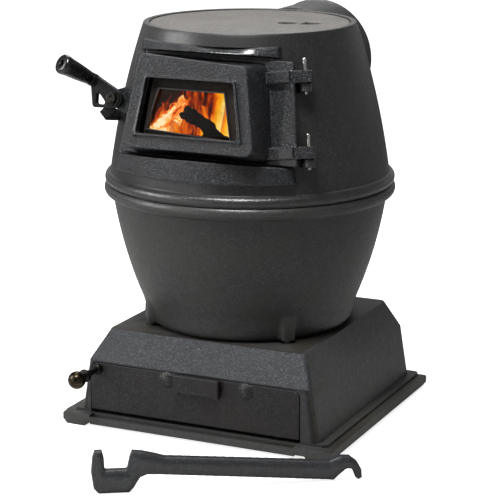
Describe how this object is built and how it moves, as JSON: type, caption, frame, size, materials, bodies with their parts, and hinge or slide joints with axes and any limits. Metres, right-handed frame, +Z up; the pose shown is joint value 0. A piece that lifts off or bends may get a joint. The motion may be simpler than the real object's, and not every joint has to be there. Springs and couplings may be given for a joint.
{
  "type": "potbelly stove",
  "caption": "Cast-iron solid-fuel room heater: box base with ash drawer, bulging barrel, glazed feed door on inclined pins, round lid, rear flue socket and a loose lid lifter.",
  "frame": {"origin": "on the floor under the axis of the round barrel", "axes": "+Z up, -Y towards the feed door and ash drawer, +Y along the flue socket, +X to the right of someone facing the doors"},
  "size_m": [0.4798, 0.6815, 0.5775],
  "materials": {
    "iron": "sand-cast, matt black stove paint",
    "lid_iron": "sand-cast, rubbed and heat-greyed",
    "sheet": "folded black sheet steel",
    "bar": "turned steel, blackened",
    "steel": "bright turned steel",
    "bronze": "aged bronze-coloured ball",
    "grip": "glossy black phenolic",
    "rope": "plaited glass-fibre rope seal",
    "glass": "clear heat-resistant glass ceramic, faintly sooted"
  },
  "bodies": {
    "stove": {"base_plate": "iron", "base_screws": "steel", "base_shell": "iron", "pot": "iron", "pot_bolts": "steel", "grate_ring": "iron", "belt_seal": "rope", "upper_body": "iron", "flue_collar": "iron", "collar_bolts": "steel", "door_frame": "iron", "hinge_pin_upper": "steel", "hinge_pin_lower": "steel", "latch_catch": "iron"},
    "ash_drawer": {"drawer_front": "iron", "ash_pan": "sheet", "pan_rivets": "steel", "draft_rivets": "iron"},
    "draft": {"draft_slide": "iron", "draft_keeper": "sheet"},
    "ash_latch": {"ash_spindle": "bar", "ash_knob": "bronze", "ash_collar": "bar", "ash_cam": "iron"},
    "grate": {"shaker_grate": "iron"},
    "lid": {"lid": "lid_iron"},
    "feed_door": {"feed_door": "iron", "door_gasket": "rope", "window_gasket": "rope", "window_glass": "glass", "glass_retainer": "sheet", "retainer_screws": "steel"},
    "latch": {"latch_bolt": "bar", "latch_washers": "steel", "latch_arm": "iron", "latch_grip": "grip", "grip_screw": "steel", "latch_hook": "iron"},
    "lifter": {"lid_lifter": "iron"}
  },
  "joints": [
    {"name": "ash_drawer_slide", "type": "slide", "parent": "stove", "child": "ash_drawer", "axis": [0, -1, 0], "range_m": [0, 0.095]},
    {"name": "draft_slide_joint", "type": "slide", "parent": "ash_drawer", "child": "draft", "axis": [1, 0, 0], "range_m": [0, 0.024]},
    {"name": "ash_latch_turn", "type": "hinge", "parent": "ash_drawer", "child": "ash_latch", "pos_m": [-0.1565, -0.179, 0.086], "axis": [0, -1, 0], "range_deg": [0, 90]},
    {"name": "grate_shake", "type": "hinge", "parent": "stove", "child": "grate", "pos_m": [0, 0, 0.1658], "axis": [0, 0, 1], "range_deg": [-20, 20]},
    {"name": "lid_lift", "type": "slide", "parent": "stove", "child": "lid", "axis": [0, 0, 1], "range_m": [0, 0.1]},
    {"name": "feed_door_hinge", "type": "hinge", "parent": "stove", "child": "feed_door", "pos_m": [0.143, -0.12773, 0.47396], "axis": [-0.1323, 0.1687, 0.9768], "range_deg": [0, 110]},
    {"name": "feed_latch_turn", "type": "hinge", "parent": "feed_door", "child": "latch", "pos_m": [-0.134, -0.1404, 0.47107], "axis": [0, -0.9854, 0.1702], "range_deg": [0, 75]},
    {"name": "lifter_pick_up", "type": "slide", "parent": "stove", "child": "lifter", "axis": [0, 0, 1], "range_m": [0, 0.1]}
  ]
}
